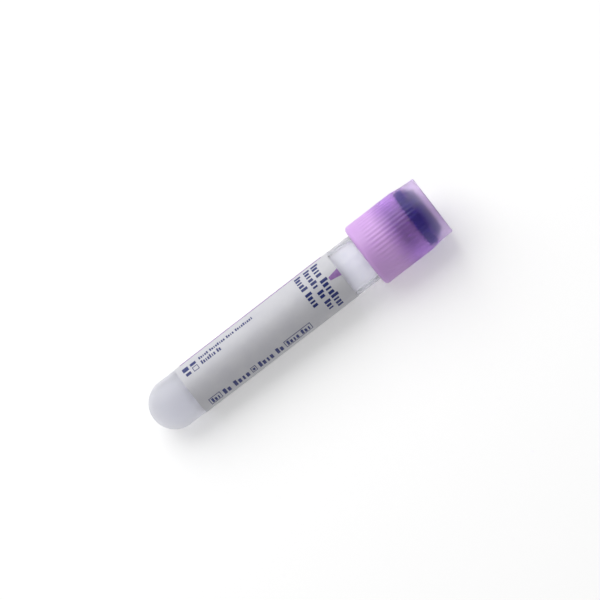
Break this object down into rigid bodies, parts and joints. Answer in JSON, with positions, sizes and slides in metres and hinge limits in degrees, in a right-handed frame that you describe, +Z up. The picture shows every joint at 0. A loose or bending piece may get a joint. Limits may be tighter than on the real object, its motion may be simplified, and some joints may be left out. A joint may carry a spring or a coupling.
{
  "type": "blood collection tube",
  "caption": "Round-bottomed clear plastic collection tube with a wrapped label and a pull-off lavender closure: a rubber stopper held in a ribbed translucent shield.",
  "frame": {"origin": "on the surface that the tube lies on, under the middle of its bounding box", "axes": "+X along the tube from its round end to its closure, +Z up; the tube's own axis rises 2.1 degrees towards the closure"},
  "size_m": [0.0816, 0.0164, 0.0168],
  "materials": {
    "clear_plastic": "clear, glossy, with a faint frosting of dried additive inside",
    "label_film": "satin off-white film",
    "print_navy": "satin print ink",
    "print_lavender": "satin print ink",
    "stopper_rubber": "matt moulded rubber",
    "shield_plastic": "translucent, satin moulded"
  },
  "bodies": {
    "tube_body": {"tube": "clear_plastic", "label": "label_film"},
    "closure": {"stopper": "stopper_rubber", "shield": "shield_plastic"}
  },
  "joints": [
    {"name": "closure_pull", "type": "slide", "parent": "tube_body", "child": "closure", "axis": [0.9993, 0, 0.0365], "range_m": [0, 0.03]}
  ]
}
